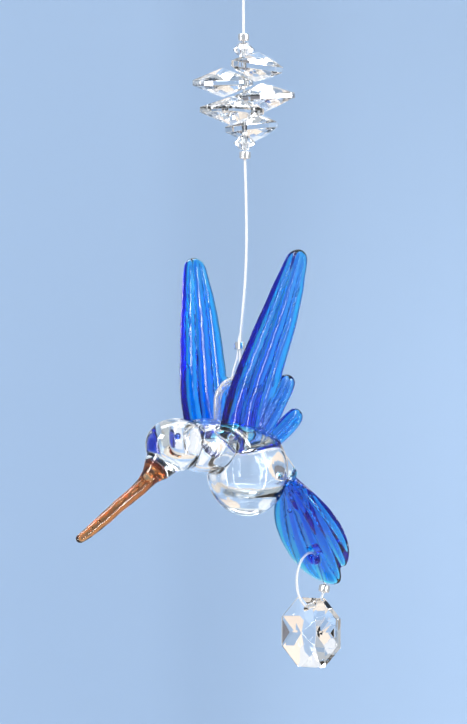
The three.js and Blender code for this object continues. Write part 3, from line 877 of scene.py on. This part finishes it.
def line_piece(name, path, node):
    """A nylon line along a path in metres, as a curve with a round section."""
    data = bpy.data.curves.new(name, "CURVE")
    data.dimensions = "3D"
    data.bevel_depth = LINE_DIAMETER / 2
    data.bevel_resolution = 4
    data.use_fill_caps = True
    spline = data.splines.new("POLY")
    spline.points.add(len(path) - 1)
    for point, place in zip(spline.points, path):
        point.co = (*place, 1)
    data.materials.append(nylon)
    made = bpy.data.objects.new(name, data)
    bpy.context.collection.objects.link(made)
    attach(made, "root")
    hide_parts(node)
    return made


# ---- Line and drop loop

make_camera()

route = Path(LINE_ROUTE, steps=10)
line = line_piece("hanging_line", route.points, "suspension_line")

crimp_angle = math.radians(DROP_CRIMP_BELOW)
open_angle = DROP_LOOP_GAP / 2 / DROP_LOOP["half_height"]
loop_start, loop_stop = crimp_angle + open_angle, crimp_angle + 2 * math.pi - open_angle
to_part = Matrix.Scale(MM, 4) @ TAIL
loop_path = [
    to_part @ Vector(DROP_MIDDLE + oval_point(a))
    for a in np.linspace(loop_start, loop_stop, LOOP_POINTS)
]
loop_length = sum((b - a).length for a, b in zip(loop_path, loop_path[1:]))
drop_loop = line_piece("drop_nylon", loop_path, "drop_loop")
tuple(loop_path[0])

# ---- Glass

GLASS_PIECES = [
    ("clear_body", body_mesh, BIRD, clear_glass, "glass_body", "clear_glass"),
    ("amber_beak", beak_mesh, BIRD, amber_glass, "beak", "amber_glass"),
    ("near_wing", lambda: wing_mesh(LEFT_WING), BIRD, blue_glass, "left_wing", "blue_glass"),
    ("far_wing", lambda: wing_mesh(RIGHT_WING), BIRD, blue_glass, "right_wing", "blue_glass"),
    ("back_cane", back_loop_mesh, BIRD, cane_glass, "back_loop", "clear_glass"),
    ("tail_fan", tail_mesh, TAIL, blue_glass, "tail", "blue_glass"),
]
for name, build, place, look, node, slot in GLASS_PIECES:
    made = placed(name, build(), place, look)
    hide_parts(node)

for side, eye in zip(("near", "far"), EYES):
    placed(f"{side}_eye", ellipsoid(eye, 32, 16), BIRD, eye_glass)

CRYSTALS = [
    "cluster_top_bicone",
    *[f"cluster_crystal_{k}" for k in range(1, 6)],
    "cluster_bottom_bicone",
    "drop_crystal",
]
for node in CRYSTALS:
    made = piece(node + "_cut", cut_crystal(node), crystal, False)
    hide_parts(node)

# ---- Silver


def node_middle(node):
    low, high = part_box(node)
    return (Vector(low) + Vector(high)) / 2 / MM


def bead_crimp():
    return sleeve(BEAD_BORE_RADIUS, BEAD_CRIMP_RADIUS, CRIMP_HEIGHT)


def loop_crimp():
    return sleeve(LOOP_BORE_RADIUS, LOOP_CRIMP_RADIUS, CRIMP_HEIGHT, reach=STRAND_OFFSET)


def turned(degrees):
    return Matrix.Rotation(math.radians(degrees), 4, "Z")


def ring_mesh():
    radius = (RING_INSIDE + RING_WIRE) / 2
    points = [
        (radius * math.cos(a), 0, -RING_INSIDE / 2 + radius * math.sin(a))
        for a in np.linspace(0, 2 * math.pi, RING_POINTS, endpoint=False)
    ]
    return tube(points, [RING_WIRE / 2] * RING_POINTS, closed=True)


drop_crimp_place = (
    TAIL
    @ Matrix.Translation(DROP_MIDDLE + oval_point(crimp_angle))
    @ Matrix.Rotation(oval_turn(crimp_angle), 4, "Y")
)
SILVER_PIECES = [
    ("wire_ring", ring_mesh(), ORIGIN, "hanging_ring"),
    (
        "ring_loop_crimp",
        loop_crimp(),
        Matrix.Translation(RING_CRIMP_PLACE) @ turned(90),
        "ring_crimp",
    ),
    (
        "bird_loop_crimp",
        loop_crimp(),
        Matrix.Translation(BIRD_CRIMP_PLACE) @ turned(90 + BIRD_YAW),
        "bird_crimp",
    ),
    (
        "top_bead_crimp",
        bead_crimp(),
        Matrix.Translation(node_middle("cluster_top_crimp")) @ turned(20),
        "cluster_top_crimp",
    ),
    (
        "bottom_bead_crimp",
        bead_crimp(),
        Matrix.Translation(node_middle("cluster_bottom_crimp")) @ turned(55),
        "cluster_bottom_crimp",
    ),
    ("drop_bead_crimp", bead_crimp(), drop_crimp_place, "drop_crimp"),
]
for name, mesh, place, node in SILVER_PIECES:
    made = placed(name, mesh, place, silver)
    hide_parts(node)

# ---- Stage and light


def stage_piece(name, mesh, color):
    mesh.materials.append(material(name, Base_Color=(*color, 1), Roughness=0.9))
    made = bpy.data.objects.new(name, mesh)
    bpy.context.collection.objects.link(made)
    return made


def sweep_mesh(half_width=4.0, front=-4.0, back=2.6, floor=-1.3, top=3.0, bend=1.0):
    """A backdrop that starts in front as a floor and bends up behind the object."""
    profile = [(front, floor)]
    for a in np.linspace(0, math.pi / 2, 24):
        profile.append((back - bend + bend * math.sin(a), floor + bend - bend * math.cos(a)))
    profile.append((back, top))
    points = [(x, y, z) for y, z in profile for x in (-half_width, half_width)]
    faces = [(2 * k, 2 * k + 1, 2 * k + 3, 2 * k + 2) for k in range(len(profile) - 1)]
    mesh = bpy.data.meshes.new("sweep")
    mesh.from_pydata(points, [], faces)
    return mesh


def card(width, height):
    mesh = bpy.data.meshes.new("card")
    corners = [(-width / 2, -height / 2, 0), (width / 2, -height / 2, 0)]
    corners += [(width / 2, height / 2, 0), (-width / 2, height / 2, 0)]
    mesh.from_pydata(corners, [], [(0, 1, 2, 3)])
    return mesh


def aimed(obj, place, target=(0, 0, -0.1)):
    obj.location = place
    obj.rotation_mode = "QUATERNION"
    obj.rotation_quaternion = (Vector(place) - Vector(target)).to_track_quat("Z", "Y")


def area_light(name, place, size, power, color=(1, 1, 1)):
    data = bpy.data.lights.new(name, "AREA")
    data.shape = "RECTANGLE"
    data.size, data.size_y = size
    data.energy = power
    data.color = color
    light = bpy.data.objects.new(name, data)
    bpy.context.collection.objects.link(light)
    aimed(light, place)


backdrop = stage_piece("backdrop", sweep_mesh(), (0.46, 0.62, 0.84))
for polygon in backdrop.data.polygons:
    polygon.use_smooth = True
ground = stage_piece("warm_floor", card(8, 5.4), (0.68, 0.59, 0.5))
ground.location = (0, -1.3, -1.28)

# Plain cards outside the picture, which the clear glass and the crystals mirror and refract
PALE = (0.68, 0.72, 0.78)
WARM = (0.7, 0.6, 0.52)
DARK = (0.17, 0.16, 0.18)
for name, size, place, color in [
    ("left_card", (0.45, 1.5), (-0.5, 1.5, 0.1), PALE),
    ("right_card", (0.4, 1.3), (0.48, 1.5, -0.1), WARM),
    ("far_right_card", (0.5, 2.2), (1.6, 2.1, 0.15), DARK),
    ("far_left_card", (0.42, 2.2), (-2.0, 2.1, -0.05), DARK),
    ("high_back_card", (1.4, 0.6), (0, 1.4, 0.62), PALE),
]:
    aimed(stage_piece(name, card(*size), color), place)

world = bpy.data.worlds.new("studio")
world.use_nodes = True
world.node_tree.nodes["Background"].inputs["Color"].default_value = (0.88, 0.94, 1.0, 1)
world.node_tree.nodes["Background"].inputs["Strength"].default_value = 0.62
bpy.context.scene.world = world
bpy.context.scene.view_settings.view_transform = "Standard"
area_light("key", (-1.3, -1.2, 1.2), (0.8, 0.8), 46, (1, 0.97, 0.93))
area_light("fill", (1.6, -0.9, 0.6), (0.6, 1.2), 16)
area_light("left_strip", (-1.1, -0.75, -0.1), (0.1, 1.7), 10)
area_light("right_strip", (1.0, -0.6, -0.1), (0.1, 1.7), 10)
area_light("backdrop_light", (0, 0.4, 2.2), (2.5, 0.8), 60)
